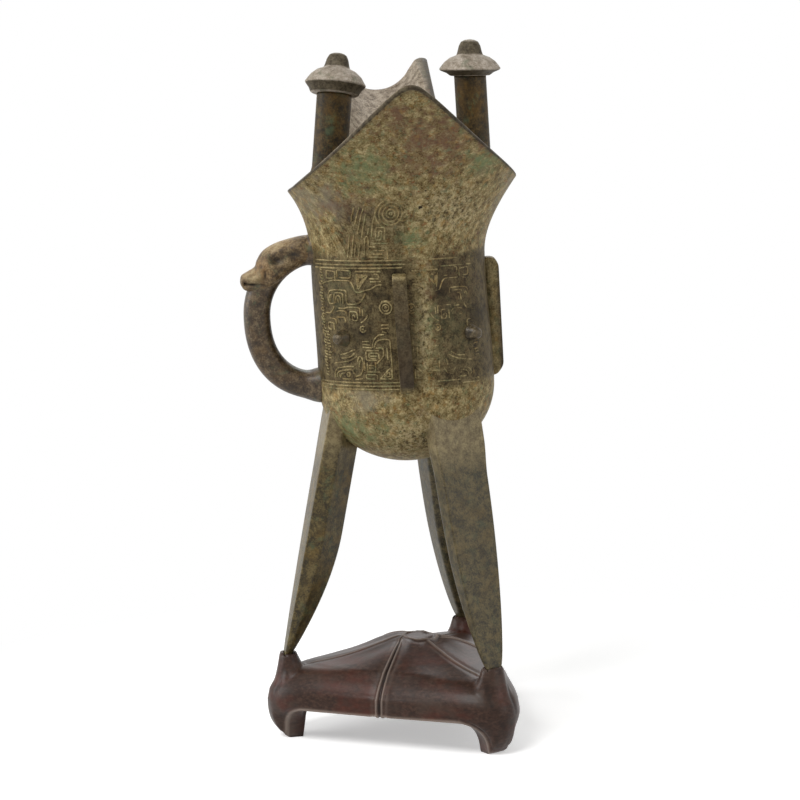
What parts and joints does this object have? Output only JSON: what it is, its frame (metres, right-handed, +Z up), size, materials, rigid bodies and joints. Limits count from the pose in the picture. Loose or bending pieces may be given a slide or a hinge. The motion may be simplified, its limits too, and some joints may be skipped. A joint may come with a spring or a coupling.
{
  "type": "bronze ritual wine vessel on a wooden stand",
  "caption": "Three-legged cast bronze wine vessel with spout, pointed tail, capped posts and beast-head handle, standing in a carved wooden stand.",
  "frame": {"origin": "on the floor, under the middle of the stand's three sockets and the vessel's axis", "axes": "+Z up along the vessel's axis, +Y towards the spout, -Y towards the tail, -X towards the handle"},
  "size_m": [0.0916, 0.164, 0.2263],
  "materials": {
    "bronze_body": "cast bronze with a mottled olive, brown and pale green patina",
    "bronze_leg": "cast bronze with a dark olive patina, worn grey at the edges",
    "bronze_handle": "cast bronze with a brown and ochre patina",
    "bronze_post": "cast bronze with a dark brown patina",
    "bronze_cap": "cast bronze with a pale grey earthy crust",
    "bronze_flange": "smooth dark bronze",
    "hardwood": "carved dark red-brown hardwood with a soft polish"
  },
  "bodies": {
    "stand": {"wooden_stand": "hardwood"},
    "vessel": {"vessel_body": "bronze_body", "leg_handle_side": "bronze_leg", "leg_tail_side": "bronze_leg", "leg_spout_side": "bronze_leg", "handle_loop": "bronze_handle", "beast_head": "bronze_handle", "post_handle_side": "bronze_post", "post_far_side": "bronze_post", "cap_handle_side": "bronze_cap", "cap_far_side": "bronze_cap", "flange_tail": "bronze_flange", "flange_spout": "bronze_flange", "flange_far_side": "bronze_flange", "eye_bosses": "bronze_flange"}
  },
  "joints": [
    {"name": "vessel_lift", "type": "slide", "parent": "stand", "child": "vessel", "axis": [0, 0, 1], "range_m": [0, 0.06]}
  ]
}
